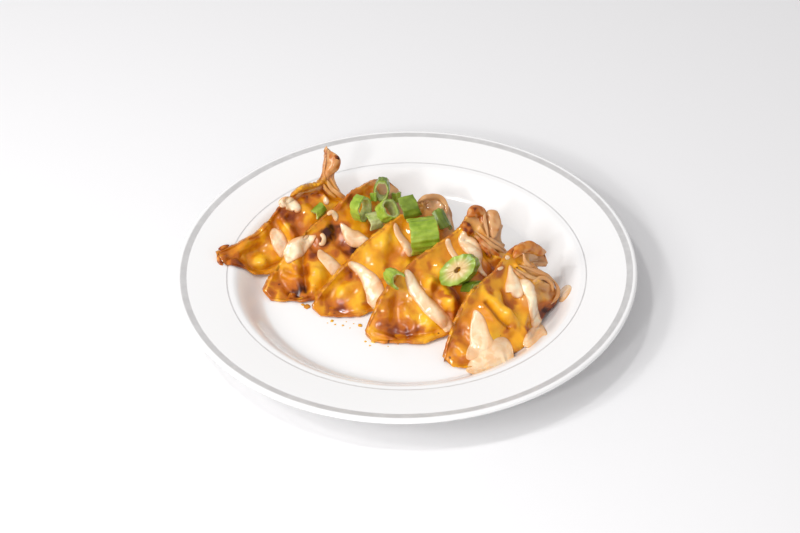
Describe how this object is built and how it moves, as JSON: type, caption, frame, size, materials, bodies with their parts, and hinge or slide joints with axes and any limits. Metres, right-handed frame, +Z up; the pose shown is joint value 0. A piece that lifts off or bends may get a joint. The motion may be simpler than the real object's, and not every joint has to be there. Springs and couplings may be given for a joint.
{
  "type": "plate of gyoza dumplings",
  "caption": "Pan-fried gyoza dumplings shingled in a row on a round white plate, with creamy sauce and cut spring onion.",
  "frame": {"origin": "middle of the plate's foot, on the surface that the plate stands on", "axes": "+Z up out of the plate, +X to the right along the row of dumplings, +Y away from the diner"},
  "size_m": [0.19, 0.19, 0.0393],
  "materials": {
    "plate": "glossy white with a silver band and line",
    "dough": "fried wrapper, glossy with amber glaze",
    "spring_onion": "wet leaf, satin"
  },
  "bodies": {
    "root": {"plate": "plate", "gyoza_1": "dough", "gyoza_2": "dough", "gyoza_3": "dough", "gyoza_4": "dough", "gyoza_5": "dough", "spring_onion_1": "spring_onion", "spring_onion_2": "spring_onion", "spring_onion_3": "spring_onion", "spring_onion_4": "spring_onion", "spring_onion_5": "spring_onion", "spring_onion_6": "spring_onion", "spring_onion_7": "spring_onion", "spring_onion_8": "spring_onion", "spring_onion_9": "spring_onion", "spring_onion_10": "spring_onion", "spring_onion_11": "spring_onion", "spring_onion_12": "spring_onion", "spring_onion_13": "spring_onion"}
  },
  "joints": []
}
